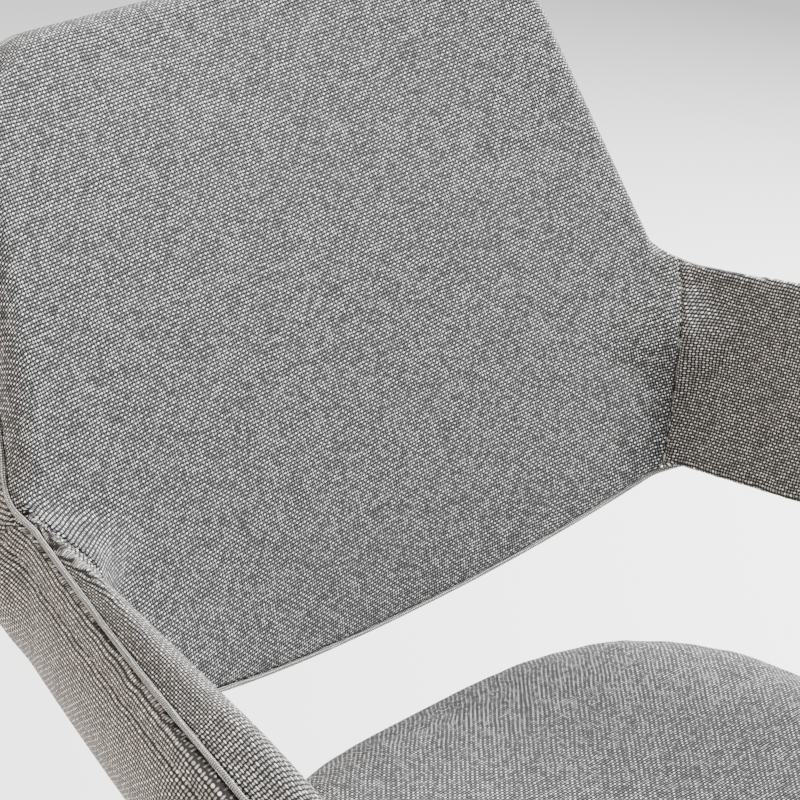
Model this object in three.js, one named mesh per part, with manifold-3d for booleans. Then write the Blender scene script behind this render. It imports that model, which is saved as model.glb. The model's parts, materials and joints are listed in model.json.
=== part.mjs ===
// Swivel office chair: upholstered back-and-arms shell over a separate seat pad,
// tilt mechanism, gas column and a five-star base on twin-wheel casters.
// Units are millimetres, +Z is up, the sitter faces -Y.
import * as THREE from 'three';
import { mergeVertices } from 'three/addons/utils/BufferGeometryUtils.js';
import Module from 'manifold-3d';

const wasm = await Module();
wasm.setup();

// ---------- driving dimensions ----------
const BOX_CENTRE_Y = 41.98;      // the box centre lies this far behind the column axis
const CLEAR = 0.3;               // clearance between neighbouring pieces

// casters
const CASTERS = 5;
const WHEEL_R = 25;
const WHEEL_IN = 9;              // inner side of a wheel from the caster's middle plane
const WHEEL_OUT = 25;
const CASTER_TRAIL = 17;         // axle to swivel axis
const CASTER_RING_R = 280;       // swivel axes lie on this circle
const AXLE_R = 3;
const STEM_R = 5.5;

// star base
const HUB_BOTTOM = 60;
const HUB_TOP = 128;
const HUB_R = 37;
const BOSS_BOTTOM = 56;
const BOSS_TOP = 92;
const BOSS_R = 16;

// gas column
const TUBE_R = 25;
const TUBE_WALL = 2;
const TUBE_BOTTOM = 66;
const TUBE_TOP = 286;
const CYLINDER_R = 14;
const CYLINDER_BORE_R = 11.5;
const CYLINDER_BOTTOM = 84;
const CYLINDER_TOP = 336;
const ROD_R = 5;
const BUTTON_R = 4;

// tilt mechanism
const HOUSING_HALF_W = 48;
const HOUSING_FRONT = -104;
const HOUSING_REAR = 68;
const HOUSING_FLOOR = 300;
const STEEL = 3;
const PIVOT_Y = -75;
const PIVOT_Z = 352;
const PIN_R = 5;
const SPRING_Y = 49;
const LEVER_PIVOT_X = -40;
const LEVER_Z = 328;             // axis of the lever's tube
const FINGER_BOTTOM = 342;       // the lever's finger lies on the valve button
const FINGER_TOP = 345;

// seat
const PLATE_BOTTOM = 366;
const PLATE_HALF_W = 90;
const PLATE_HALF_D = 112;
const BOARD_BOTTOM = PLATE_BOTTOM + STEEL + CLEAR;
const BOARD_T = 12;
const SEAT_TOP = 470;
const SEAT_HALF_W = 206;
const SEAT_MID_Y = -1;
const SEAT_REAR = 232;           // from SEAT_MID_Y to the rear rim
const SEAT_FRONT = 242;          // from SEAT_MID_Y to the front rim
const SEAT_CORNER = 3.16;        // superellipse exponent of the seat's plan
const SEAT_WIDEN = 0.09;         // the seat grows wider towards the front

// back
const BACK_Y = 266;              // front face at the reference height, on the centre line
const BACK_Z = 617;
const BACK_LOW = -123;           // arc length of the lower edge below the reference height
const BACK_HIGH = 252;
const BACK_PAD_T = 26;
const BACK_SHELL_T = 15;

// arms
const ARM_TOP = 648;
const ARM_T = 40;
const ARM_BAND_HALF = 54;
const ARM_BEND_R = 100;
const ARM_BEND_Y = 62;           // the band starts to turn down here
const ARM_FOOT_Z = 374;
const BRACKET_W = 44;
const BRACKET_T = 5;

// ---------- materials ----------
function material(name, color, roughness, metalness) {
  const m = new THREE.MeshStandardMaterial({ color, roughness, metalness });
  m.name = name;
  return m;
}
const FABRIC = material('fabric', 0x8c8a87, 0.95, 0);
const FABRIC_SIDE = material('fabric_outer', 0x8a837c, 0.95, 0);
const FELT = material('felt', 0x1d1d1e, 0.95, 0);
const PLYWOOD = material('plywood', 0xb98d5c, 0.6, 0);
const ALUMINIUM = material('aluminium', 0xb9bbbd, 0.3, 1);
const CHROME = material('chrome', 0xd8d9db, 0.12, 1);
const STEEL_BLACK = material('black_steel', 0x1c1d1f, 0.45, 0.6);
const STEEL_PLAIN = material('steel', 0x9b9da0, 0.35, 1);
const NYLON = material('black_nylon', 0x17181a, 0.5, 0);
const TREAD = material('tread', 0x26272a, 0.75, 0);

// ---------- shape helpers ----------
const chair = new THREE.Group();
chair.name = 'swivel_office_chair';
chair.position.y = -BOX_CENTRE_Y;

function clean(geometry) {
  geometry.deleteAttribute('normal');
  geometry.deleteAttribute('uv');
  return mergeVertices(geometry, 1e-4);
}

function add(parent, name, geometry, mat) {
  const closed = clean(geometry);
  closed.computeVertexNormals();
  const mesh = new THREE.Mesh(closed, mat);
  mesh.name = name;
  parent.add(mesh);
  return mesh;
}

function solid(geometry) {
  const g = clean(geometry);
  const count = g.attributes.position.count;
  const index = g.index ? g.index.array : [...Array(count).keys()];
  return new wasm.Manifold(new wasm.Mesh({
    numProp: 3,
    vertProperties: new Float32Array(g.attributes.position.array),
    triVerts: new Uint32Array(index),
  }));
}

function fromSolid(body) {
  const mesh = body.getMesh();
  const g = new THREE.BufferGeometry();
  g.setAttribute('position', new THREE.BufferAttribute(new Float32Array(mesh.vertProperties), 3));
  g.setIndex(new THREE.BufferAttribute(new Uint32Array(mesh.triVerts), 1));
  return g;
}

function box(x0, x1, y0, y1, z0, z1) {
  const g = new THREE.BoxGeometry(x1 - x0, y1 - y0, z1 - z0);
  return g.translate((x0 + x1) / 2, (y0 + y1) / 2, (z0 + z1) / 2);
}

// upright cylinder between two heights
function rod(r, z0, z1, segments = 20) {
  const g = new THREE.CylinderGeometry(r, r, z1 - z0, segments);
  return g.rotateX(Math.PI / 2).translate(0, 0, (z0 + z1) / 2);
}

// solid of revolution about Z from [radius, height] points
function turned(points, segments = 24) {
  const g = new THREE.LatheGeometry(points.map(([r, z]) => new THREE.Vector2(r, z)), segments);
  return outward(g.rotateX(Math.PI / 2));
}

// ring of revolution: the profile closes on itself
function turnedRing(points, segments = 24) {
  return turned([...points, points[0]], segments);
}

function volume(geometry) {
  const p = geometry.attributes.position;
  const index = geometry.index.array;
  const a = new THREE.Vector3();
  const b = new THREE.Vector3();
  const c = new THREE.Vector3();
  let sum = 0;
  for (let i = 0; i < index.length; i += 3) {
    a.fromBufferAttribute(p, index[i]);
    b.fromBufferAttribute(p, index[i + 1]);
    c.fromBufferAttribute(p, index[i + 2]);
    sum += a.dot(b.cross(c)) / 6;
  }
  return sum;
}

function outward(geometry) {
  if (volume(geometry) >= 0) return geometry;
  const index = geometry.index.array;
  for (let i = 0; i < index.length; i += 3) {
    [index[i], index[i + 1]] = [index[i + 1], index[i]];
  }
  return geometry;
}

// closed body through rings of equal, even point count; the ends are closed by rungs
// between mirrored points, counted from `first`, or by a fan to a tip
function loft(rings, first = 0, tip = null) {
  const n = rings[0].length;
  const points = rings.flat();
  const last = (rings.length - 1) * n;
  const index = [];
  for (let r = 0; r + 1 < rings.length; r++) {
    for (let i = 0; i < n; i++) {
      const a = r * n + i;
      const b = r * n + (i + 1) % n;
      index.push(a, b, b + n, a, b + n, a + n);
    }
  }
  for (let i = 0; i + 1 < n / 2; i++) {
    const a = (first + i) % n;
    const b = (first + i + 1) % n;
    const c = (first - 2 - i + n) % n;
    const d = (first - 1 - i + n) % n;
    index.push(a, c, b, a, d, c);
    if (!tip) index.push(last + a, last + b, last + c, last + a, last + c, last + d);
  }
  if (tip) {
    points.push(tip);
    for (let i = 0; i < n; i++) index.push(points.length - 1, last + i, last + (i + 1) % n);
  }
  const g = new THREE.BufferGeometry();
  g.setFromPoints(points);
  g.setIndex(index);
  return outward(g);
}

// signed power, for superellipse outlines
function spow(value, power) {
  return Math.sign(value) * Math.abs(value) ** power;
}

function lerp(a, b, t) {
  return a + (b - a) * t;
}

function smooth(a, b, value) {
  const t = Math.min(1, Math.max(0, (value - a) / (b - a)));
  return t * t * (3 - 2 * t);
}

// ---------- casters ----------
function wheelGeometry(side) {
  const edge = 3;
  const width = WHEEL_OUT - WHEEL_IN;
  const profile = [
    [AXLE_R + CLEAR, 0],
    [WHEEL_R - 1, 0],
    [WHEEL_R, 1],
    [WHEEL_R, width - edge],
    [WHEEL_R - edge, width],
    [WHEEL_R - 9, width - 2],
    [AXLE_R + CLEAR, width - 2],
  ];
  const g = turnedRing(profile, 18);
  return g.translate(0, 0, WHEEL_IN).rotateX(side * Math.PI / 2);
}

function hoodGeometry() {
  const inner = WHEEL_R + 1.5;
  const outer = WHEEL_R + 4;
  const from = -0.12 * Math.PI;
  const to = 0.88 * Math.PI;
  const cover = new THREE.Shape();
  cover.absarc(0, 0, outer, from, to, false);
  cover.absarc(0, 0, inner, to, from, true);
  const halfDisc = new THREE.Shape();
  halfDisc.absarc(0, 0, inner + 1, from, to, false);
  const upright = (shape, width) => new THREE.ExtrudeGeometry(shape, {
    depth: width, bevelEnabled: false, curveSegments: 8,
  }).translate(0, 0, -width / 2).rotateX(Math.PI / 2);
  const axleBoss = rod(7, -8, 8, 12).rotateX(Math.PI / 2);
  const stemBoss = rod(8.5, 14, 28.5, 12).translate(-CASTER_TRAIL, 0, 0);
  const keepOut = box(-WHEEL_R - 9, WHEEL_R + 9, -8, 8, -40, 40);
  const bossInWeb = solid(stemBoss).intersect(solid(keepOut));
  const body = solid(upright(cover, 2 * WHEEL_OUT))
    .add(solid(upright(halfDisc, 16)))
    .add(solid(axleBoss))
    .add(bossInWeb)
    .subtract(solid(rod(AXLE_R + CLEAR, -40, 40, 10).rotateX(Math.PI / 2)))
    .subtract(solid(rod(STEM_R + CLEAR, 5, 60, 12).translate(-CASTER_TRAIL, 0, 0)));
  return fromSolid(body);
}

const stemProfile = [
  [0, 32],
  [STEM_R, 32],
  [STEM_R, 54.4],
  [9, 54.4],
  [9, 55.7],
  [STEM_R, 55.7],
  [STEM_R - 0.7, 84],
  [STEM_R - 1.7, 86],
  [0, 86],
];

for (let k = 1; k <= CASTERS; k++) {
  const arm = new THREE.Group();
  arm.rotation.z = -Math.PI / 2 + (k - 1) * 2 * Math.PI / CASTERS;
  const swivel = new THREE.Group();
  swivel.position.x = CASTER_RING_R;
  arm.add(swivel);
  chair.add(arm);
  add(swivel, `caster_${k}_stem`, turned(stemProfile, 12), STEEL_PLAIN);
  const hood = hoodGeometry().translate(CASTER_TRAIL, 0, WHEEL_R);
  add(swivel, `caster_${k}_hood`, hood, NYLON);
  const axle = rod(AXLE_R, -23, 23, 10).rotateX(Math.PI / 2);
  add(swivel, `caster_${k}_axle`, axle.translate(CASTER_TRAIL, 0, WHEEL_R), STEEL_PLAIN);
  for (const [label, side] of [['left', 1], ['right', -1]]) {
    const wheel = wheelGeometry(side).translate(CASTER_TRAIL, 0, WHEEL_R);
    add(swivel, `caster_${k}_wheel_${label}`, wheel, TREAD);
  }
}

// ---------- star base ----------
function legGeometry() {
  const stations = 5;
  const rings = [];
  for (let i = 0; i <= stations; i++) {
    const t = i / stations;
    const x = lerp(18, CASTER_RING_R, t);
    const top = lerp(122, BOSS_TOP - 2, t) - 6 * Math.sin(Math.PI * t);
    const bottom = lerp(70, BOSS_BOTTOM + 6, t) + 10 * Math.sin(Math.PI * t);
    const halfWidth = lerp(23, 13, t);
    rings.push(roundedSection(x, halfWidth, bottom, top));
  }
  return loft(rings);
}

function roundedSection(x, halfWidth, bottom, top) {
  const count = 12;
  const middle = (top + bottom) / 2;
  const halfHeight = (top - bottom) / 2;
  return Array.from({ length: count }, (_, i) => {
    const a = 2 * Math.PI * (i + 0.5) / count;
    const y = halfWidth * spow(Math.cos(a), 0.6);
    return new THREE.Vector3(x, y, middle + halfHeight * spow(Math.sin(a), 0.6));
  });
}

function starBase() {
  const hub = turned([
    [0, HUB_BOTTOM], [HUB_R - 3, HUB_BOTTOM], [HUB_R, HUB_BOTTOM + 3], [HUB_R, HUB_TOP - 12],
    [HUB_R - 4, HUB_TOP - 3], [HUB_R - 7, HUB_TOP], [0, HUB_TOP],
  ], 30);
  let body = solid(hub);
  for (let k = 0; k < CASTERS; k++) {
    const turn = -Math.PI / 2 + k * 2 * Math.PI / CASTERS;
    const boss = turned([
      [0, BOSS_BOTTOM], [BOSS_R, BOSS_BOTTOM], [BOSS_R, BOSS_TOP - 5],
      [BOSS_R - 4, BOSS_TOP], [0, BOSS_TOP],
    ], 16).translate(CASTER_RING_R, 0, 0);
    const stemHole = rod(STEM_R + CLEAR, 0, 86 + CLEAR, 12).translate(CASTER_RING_R, 0, 0);
    body = body.add(solid(legGeometry().rotateZ(turn)));
    body = body.add(solid(boss.rotateZ(turn)));
    body = body.subtract(solid(stemHole.rotateZ(turn)));
  }
  return fromSolid(body.subtract(solid(rod(TUBE_R + CLEAR, 0, 200, 32))));
}
add(chair, 'star_base', starBase(), ALUMINIUM);

// ---------- gas column ----------
const tubeInner = TUBE_R - TUBE_WALL;
add(chair, 'column_tube', turnedRing([
  [ROD_R + CLEAR, TUBE_BOTTOM], [TUBE_R, TUBE_BOTTOM], [TUBE_R, TUBE_TOP],
  [tubeInner, TUBE_TOP], [tubeInner, TUBE_BOTTOM + 4], [ROD_R + CLEAR, TUBE_BOTTOM + 4],
], 32), STEEL_BLACK);
add(chair, 'guide_bush', turnedRing([
  [CYLINDER_R + CLEAR, 204], [tubeInner - CLEAR, 204], [tubeInner - CLEAR, TUBE_TOP + CLEAR],
  [TUBE_R, TUBE_TOP + CLEAR], [TUBE_R - 1, TUBE_TOP + 4], [CYLINDER_R + CLEAR, TUBE_TOP + 4],
], 28), NYLON);
add(chair, 'thrust_bearing', turnedRing([
  [ROD_R + CLEAR, TUBE_BOTTOM + 4 + CLEAR], [12, TUBE_BOTTOM + 4 + CLEAR],
  [12, TUBE_BOTTOM + 10], [ROD_R + CLEAR, TUBE_BOTTOM + 10],
], 20), STEEL_PLAIN);
add(chair, 'piston_rod', turned([
  [0, 58], [ROD_R - 1, 58], [ROD_R - 1, 63.5], [ROD_R, 63.5], [ROD_R, 300], [ROD_R - 2, 300],
  [ROD_R - 2, 312], [0, 312],
], 16), CHROME);
add(chair, 'retaining_clip', turnedRing([
  [ROD_R - 1 + CLEAR, 60], [8, 60], [8, 62], [ROD_R - 1 + CLEAR, 62],
], 16), STEEL_PLAIN);
add(chair, 'piston', turnedRing([
  [ROD_R - 2 + CLEAR, 300 + CLEAR], [CYLINDER_BORE_R - CLEAR, 300 + CLEAR],
  [CYLINDER_BORE_R - CLEAR, 310], [ROD_R - 2 + CLEAR, 310],
], 20), STEEL_PLAIN);

function gasCylinder() {
  const outer = turned([
    [0, CYLINDER_BOTTOM], [CYLINDER_R - 1, CYLINDER_BOTTOM], [CYLINDER_R, CYLINDER_BOTTOM + 1],
    [CYLINDER_R, CYLINDER_TOP - 1], [CYLINDER_R - 1, CYLINDER_TOP], [0, CYLINDER_TOP],
  ], 28);
  const bore = rod(CYLINDER_BORE_R, 0, 320, 24);
  const buttonHole = rod(BUTTON_R + CLEAR, 328, 400, 14);
  return fromSolid(solid(outer).subtract(solid(bore)).subtract(solid(buttonHole)));
}
add(chair, 'gas_cylinder', gasCylinder(), CHROME);
add(chair, 'cylinder_gland', turnedRing([
  [ROD_R + CLEAR, CYLINDER_BOTTOM + 1], [CYLINDER_BORE_R - CLEAR, CYLINDER_BOTTOM + 1],
  [CYLINDER_BORE_R - CLEAR, CYLINDER_BOTTOM + 14], [ROD_R + CLEAR, CYLINDER_BOTTOM + 14],
], 20), NYLON);
add(chair, 'valve_button', turned([
  [0, 332.5], [BUTTON_R, 332.5], [BUTTON_R, 340.5], [BUTTON_R - 1, 341.5], [0, 341.5],
], 14), STEEL_PLAIN);

// ---------- tilt mechanism ----------
function sideSheet(points, x0, x1) {
  const shape = new THREE.Shape(points.map(([y, z]) => new THREE.Vector2(y, z)));
  const g = new THREE.ExtrudeGeometry(shape, { depth: x1 - x0, bevelEnabled: false });
  const turn = new THREE.Matrix4().makeBasis(
    new THREE.Vector3(0, 1, 0), new THREE.Vector3(0, 0, 1), new THREE.Vector3(1, 0, 0));
  return g.applyMatrix4(turn).translate(x0, 0, 0);
}

function crossRod(r, x0, x1, y, z, segments = 16) {
  return rod(r, x0, x1, segments).rotateY(Math.PI / 2).translate(0, y, z);
}

function mechanismHousing() {
  const w = HOUSING_HALF_W;
  const sides = [
    [HOUSING_FRONT, HOUSING_FLOOR + 14], [HOUSING_FRONT + 16, HOUSING_FLOOR],
    [HOUSING_REAR, HOUSING_FLOOR], [HOUSING_REAR, 330], [-58, 360], [-92, 360],
    [HOUSING_FRONT, 346],
  ];
  const hollow = [
    [HOUSING_FRONT + STEEL, HOUSING_FLOOR + 15], [HOUSING_FRONT + 17, HOUSING_FLOOR + STEEL],
    [HOUSING_REAR - STEEL, HOUSING_FLOOR + STEEL], [HOUSING_REAR - STEEL, 400],
    [HOUSING_FRONT + STEEL, 400],
  ];
  const socket = rod(21, HOUSING_FLOOR, 334, 28);
  const lugs = [-1, 1].map((s) => box(
    -w + 1, -34, 8.5 * s - 1.5, 8.5 * s + 1.5, LEVER_Z - 6, LEVER_Z + 11));
  let body = solid(sideSheet(sides, -w, w)).subtract(solid(sideSheet(hollow, -w + STEEL, w - STEEL)));
  body = body.add(solid(socket));
  for (const lug of lugs) body = body.add(solid(lug));
  return fromSolid(body
    .subtract(solid(rod(CYLINDER_R + CLEAR, 200, 400, 28)))
    .subtract(solid(crossRod(PIN_R + CLEAR, -80, 80, PIVOT_Y, PIVOT_Z)))
    .subtract(solid(rod(5 + CLEAR, 200, 320, 14).translate(0, SPRING_Y, 0)))
    .subtract(solid(box(-w - 2, -w + STEEL + 1, -7, 7, LEVER_Z - 9, 380)))
    .subtract(solid(rod(2 + CLEAR, -20, 20, 12).rotateX(Math.PI / 2)
      .translate(LEVER_PIVOT_X, 0, LEVER_Z))));
}
add(chair, 'mechanism_housing', mechanismHousing(), STEEL_BLACK);
add(chair, 'tilt_pin', crossRod(PIN_R, -64, 64, PIVOT_Y, PIVOT_Z), STEEL_PLAIN);
for (const [label, side] of [['left', 1], ['right', -1]]) {
  const ring = turnedRing([
    [PIN_R + CLEAR, 0], [9, 0], [9, 2], [PIN_R + CLEAR, 2],
  ], 16).rotateY(side * Math.PI / 2);
  add(chair, `pin_clip_${label}`, ring.translate(side * 61, PIVOT_Y, PIVOT_Z), STEEL_PLAIN);
}

function coilSpring(meanRadius, wire, z0, z1, turns) {
  const path = new THREE.Curve();
  const climb = z1 - z0 - 2 * wire;
  path.getPoint = (t, target = new THREE.Vector3()) => {
    const a = t * turns * 2 * Math.PI;
    return target.set(meanRadius * Math.cos(a), meanRadius * Math.sin(a), z0 + wire + climb * t);
  };
  const section = new THREE.Shape();
  section.absarc(0, 0, wire, 0, 2 * Math.PI, false);
  return new THREE.ExtrudeGeometry(section, {
    steps: turns * 10, extrudePath: path, curveSegments: 2, bevelEnabled: false,
  });
}
add(chair, 'tension_spring', coilSpring(11, 2, 312.4, 365.4, 5).translate(0, SPRING_Y, 0), STEEL_PLAIN);
add(chair, 'spring_seat', turnedRing([
  [3.3, 308.6], [14, 308.6], [14, 312], [3.3, 312],
], 18).translate(0, SPRING_Y, 0), STEEL_PLAIN);
add(chair, 'tension_bolt', turned([
  [0, 276], [ROD_R, 276], [ROD_R, 308.2], [3, 308.2], [3, 318], [0, 318],
], 16).translate(0, SPRING_Y, 0), STEEL_PLAIN);

function tensionKnob() {
  const lobes = 8;
  const outline = new THREE.Shape();
  for (let i = 0; i < 40; i++) {
    const a = 2 * Math.PI * i / 40;
    const r = 20 + 1.6 * Math.cos(lobes * a);
    const p = [r * Math.cos(a), r * Math.sin(a)];
    if (i === 0) outline.moveTo(...p);
    else outline.lineTo(...p);
  }
  const body = new THREE.ExtrudeGeometry(outline, { depth: 24, bevelEnabled: false });
  const bore = rod(ROD_R + CLEAR, 276 - CLEAR, 400, 14);
  return fromSolid(solid(body.translate(0, 0, 272)).subtract(solid(bore)));
}
add(chair, 'tension_knob', tensionKnob().translate(0, SPRING_Y, 0), NYLON);

function leverYoke() {
  const z = LEVER_Z;
  const tube = crossRod(7, -78, LEVER_PIVOT_X + 4, 0, z, 20);
  const finger = box(LEVER_PIVOT_X - 1, 5, -5, 5, FINGER_BOTTOM, FINGER_TOP);
  const bore = crossRod(4 + CLEAR, -90, -50, 0, z, 16);
  const trunnion = rod(2, -11, 11, 12).rotateX(Math.PI / 2).translate(LEVER_PIVOT_X, 0, z);
  const web = box(LEVER_PIVOT_X - 4, LEVER_PIVOT_X + 4, -5, 5, z, FINGER_TOP);
  const slim = box(-90, -30, -6, 6, 300, 346);
  return fromSolid(solid(tube).intersect(solid(slim)).add(solid(web)).add(solid(finger))
    .subtract(solid(bore)).add(solid(trunnion)));
}
add(chair, 'lever_yoke', leverYoke(), STEEL_BLACK);
add(chair, 'lever_rod', crossRod(4, -205, -52, 0, LEVER_Z, 16), CHROME);

function leverPaddle() {
  const stations = 6;
  const rings = [];
  for (let i = 0; i <= stations; i++) {
    const t = i / stations;
    const x = -162 - 56 * t;
    const half = 7 + 5 * smooth(0, 0.7, t);
    const thick = 7 - 2.4 * smooth(0, 0.7, t);
    rings.push(Array.from({ length: 14 }, (_, j) => {
      const a = 2 * Math.PI * j / 14;
      const bend = 5 * t * t;
      return new THREE.Vector3(
        x, half * spow(Math.cos(a), 0.8), LEVER_Z - bend * 0.3 + thick * spow(Math.sin(a), 0.8));
    }));
  }
  const bore = crossRod(4 + CLEAR, -206, -100, 0, LEVER_Z, 16);
  return fromSolid(solid(loft(rings)).subtract(solid(bore)));
}
add(chair, 'lever_paddle', leverPaddle(), NYLON);

// ---------- seat ----------
// superellipse plan of the seat, shrunk by an inset
function seatOutline(inset, count, lift = 0) {
  return Array.from({ length: count }, (_, i) => {
    const a = 2 * Math.PI * (i + 0.5) / count;
    const reach = Math.sin(a) > 0 ? SEAT_REAR : SEAT_FRONT;
    const power = 2 / SEAT_CORNER;
    const y = (reach - inset) * spow(Math.sin(a), power);
    const widen = 1 + SEAT_WIDEN * Math.max(0, -y) / SEAT_FRONT;
    const x = (SEAT_HALF_W * widen - inset) * spow(Math.cos(a), power);
    return new THREE.Vector3(x, SEAT_MID_Y + y, lift);
  });
}

function seatSheet(inset, z0, z1, count = 44) {
  return loft([seatOutline(inset, count, z0), seatOutline(inset, count, z1)]);
}

const BOLT_X = 74;
const BOLT_Y = 94;
function boltHoles(body, z0, z1, r) {
  let cut = body;
  for (const sx of [-1, 1]) {
    for (const sy of [-1, 1]) {
      cut = cut.subtract(solid(rod(r, z0, z1, 12).translate(sx * BOLT_X, sy * BOLT_Y, 0)));
    }
  }
  return cut;
}

function seatPlate() {
  const top = PLATE_BOTTOM + STEEL;
  let body = solid(box(-PLATE_HALF_W, PLATE_HALF_W, -PLATE_HALF_D, PLATE_HALF_D, PLATE_BOTTOM, top));
  for (const side of [-1, 1]) {
    const x0 = Math.min(side * 53, side * 56);
    const ear = sideSheet([
      [PIVOT_Y - 22, PLATE_BOTTOM + 1], [PIVOT_Y - 10, PIVOT_Z - 10],
      [PIVOT_Y + 10, PIVOT_Z - 10], [PIVOT_Y + 22, PLATE_BOTTOM + 1],
    ], x0, x0 + STEEL);
    body = body.add(solid(ear));
  }
  body = body.subtract(solid(crossRod(PIN_R + CLEAR, -80, 80, PIVOT_Y, PIVOT_Z)));
  return fromSolid(boltHoles(body, 300, 400, 3 + CLEAR));
}
add(chair, 'seat_plate', seatPlate(), STEEL_BLACK);

const boardTop = BOARD_BOTTOM + BOARD_T;
add(chair, 'seat_board',
  fromSolid(boltHoles(solid(seatSheet(32, BOARD_BOTTOM, boardTop)), 300, 380, 3 + CLEAR)), PLYWOOD);
let boltNumber = 0;
for (const sx of [-1, 1]) {
  for (const sy of [-1, 1]) {
    boltNumber += 1;
    add(chair, `seat_bolt_${boltNumber}`, turned([
      [0, 361.2], [5, 361.2], [6, 362.2], [6, PLATE_BOTTOM - CLEAR], [3, PLATE_BOTTOM - CLEAR],
      [3, 379], [0, 379],
    ], 12).translate(sx * BOLT_X, sy * BOLT_Y, 0), STEEL_PLAIN);
  }
}

function dustCover() {
  const sheet = solid(seatSheet(40, BOARD_BOTTOM - 1.8, BOARD_BOTTOM - CLEAR));
  const gap = PLATE_HALF_W + 1;
  return fromSolid(sheet.subtract(solid(
    box(-gap, gap, -PLATE_HALF_D - 1, PLATE_HALF_D + 1, 300, 400))));
}
add(chair, 'dust_cover', dustCover(), FELT);

function seatCushion() {
  const bottom = boardTop + CLEAR;
  const levels = [
    [14, bottom], [4, bottom + 10], [0, bottom + 30], [0, SEAT_TOP - 26],
    [3, SEAT_TOP - 16], [10, SEAT_TOP - 9], [28, SEAT_TOP - 4.5], [90, SEAT_TOP - 1],
  ];
  const rings = levels.map(([inset, z]) => seatOutline(inset, 44, z));
  return loft(rings, 0, new THREE.Vector3(0, SEAT_MID_Y, SEAT_TOP));
}
add(chair, 'seat_cushion', seatCushion(), FABRIC);

// ---------- back ----------
// lean from the vertical, in radians, at arc length t above the reference height
function backLean(t) {
  const s = t / 300;
  return 0.29 + 0.587 * s - 0.241 * s * s;
}

// centre line of the front face, by stepping along the arc
function backCentre(t) {
  const steps = 24;
  let y = BACK_Y;
  let z = BACK_Z;
  for (let i = 0; i < steps; i++) {
    const lean = backLean(t * (i + 0.5) / steps);
    y += Math.sin(lean) * t / steps;
    z += Math.cos(lean) * t / steps;
  }
  return { y, z };
}

// sideways curvature of the back, per millimetre
function backCurve(t) {
  const s = t / 300;
  return (0.8 - 1.34 * s + 2.17 * s * s) / 1000;
}

// point at arc (s, t), sunk by a depth behind the front face
function backPoint(s, t, depth) {
  const k = backCurve(t);
  const lean = backLean(t);
  const { y, z } = backCentre(t);
  const turn = k * s;
  const forward = 0.5 * k * s * s + depth * (Math.cos(turn) - 1) - depth;
  const x = s - k * k * s ** 3 / 6 + depth * Math.sin(turn);
  return new THREE.Vector3(x, y - forward * Math.cos(lean), z + forward * Math.sin(lean));
}

function backHalfWidth(t) {
  const below = 245 + 0.415 * t;
  const above = 248 - 0.268 * t + 0.00025 * t * t;
  const width = 0.5 * (below + above - Math.sqrt((below - above) ** 2 + 150));
  const corner = 58;
  const over = Math.max(0, t - (BACK_HIGH - corner));
  return width - (corner - Math.sqrt(Math.max(0, corner ** 2 - over ** 2)));
}

function backLayer(front, rear, trim) {
  const heights = [0, 0.02, 0.08, 0.2, 0.35, 0.5, 0.65, 0.8, 0.9, 0.96, 1];
  const half = (rear - front) / 2;
  const middle = (rear + front) / 2;
  const count = 32;
  const rings = heights.map((f, row) => {
    const end = Math.min(f, 1 - f);
    const thin = end < 0.04 ? lerp(0.5, 1, end / 0.04) : 1;
    const t = lerp(BACK_LOW, BACK_HIGH - 3, f);
    const width = backHalfWidth(t) - trim;
    return Array.from({ length: count }, (_, i) => {
      const a = 2 * Math.PI * (i + 0.5) / count;
      const s = width * spow(Math.cos(a), 0.55);
      const sag = 0.0009 * s * s * (1 - f);
      const depth = middle - half * thin * spow(Math.sin(a), 0.4);
      return backPoint(s, t + sag, depth);
    });
  });
  return loft(rings);
}
add(chair, 'back_pad', backLayer(1, BACK_PAD_T, 0), FABRIC);
add(chair, 'back_shell', backLayer(BACK_PAD_T + 1, BACK_PAD_T + BACK_SHELL_T, 2), FABRIC_SIDE);

// ---------- arms ----------
// inner face of the arm: flares outwards with height and splays towards the front
function armInnerX(y, z) {
  const height = 480 + 60 * Math.log1p(Math.exp((z - 480) / 18)) * 18 / 60;
  return 206 + 0.2 * (213 - y) + 0.44 * (height - 540);
}

// middle line of the arm in side view, from the back's corner forwards and down
function armSection(u) {
  const level = ARM_TOP - ARM_BAND_HALF;
  const straight = 219 - ARM_BEND_Y;
  const bend = ARM_BEND_R * Math.PI / 2;
  const drop = level - ARM_BEND_R - ARM_FOOT_Z;
  const d = u * (straight + bend + drop);
  if (d <= straight) return { y: 219 - d, z: level, turn: 0 };
  if (d <= straight + bend) {
    const a = (d - straight) / ARM_BEND_R;
    return {
      y: ARM_BEND_Y - ARM_BEND_R * Math.sin(a),
      z: level - ARM_BEND_R * (1 - Math.cos(a)),
      turn: a,
    };
  }
  return { y: ARM_BEND_Y - ARM_BEND_R, z: level - ARM_BEND_R - (d - straight - bend), turn: Math.PI / 2 };
}

// corner rings: they start on the back's side face and swing round to face forwards
function armCorner(side, count) {
  const swings = [0, 0.35, 0.7, 1];
  return swings.map((swing) => Array.from({ length: count }, (_, i) => {
    const a = 2 * Math.PI * (i + 0.5) / count;
    const t = -37 + 46 * spow(Math.sin(a), 0.6);
    const through = 0.5 + 0.5 * spow(Math.cos(a), 0.6);
    const edge = backHalfWidth(t) + 2;
    const front = backPoint(edge, t, 0);
    const rear = backPoint(edge, t, ARM_T).sub(front);
    const out = new THREE.Vector3(ARM_T, 0, -ARM_T * 0.12);
    const reach = rear.multiplyScalar(1 - swing).add(out.multiplyScalar(swing));
    reach.setLength(ARM_T * (1 + 0.2 * Math.sin(Math.PI * swing)) * through);
    front.add(reach).add(new THREE.Vector3(2 * swing, -3 * swing, 0));
    return new THREE.Vector3(side * front.x, front.y, front.z);
  }));
}

// from the inner face to the welt along the top of the arm
function armTopWidth(y) {
  const back = Math.min(1, Math.max(0, (y - 21) / 218));
  return 30 - 28 * back ** 1.3;
}

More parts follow.
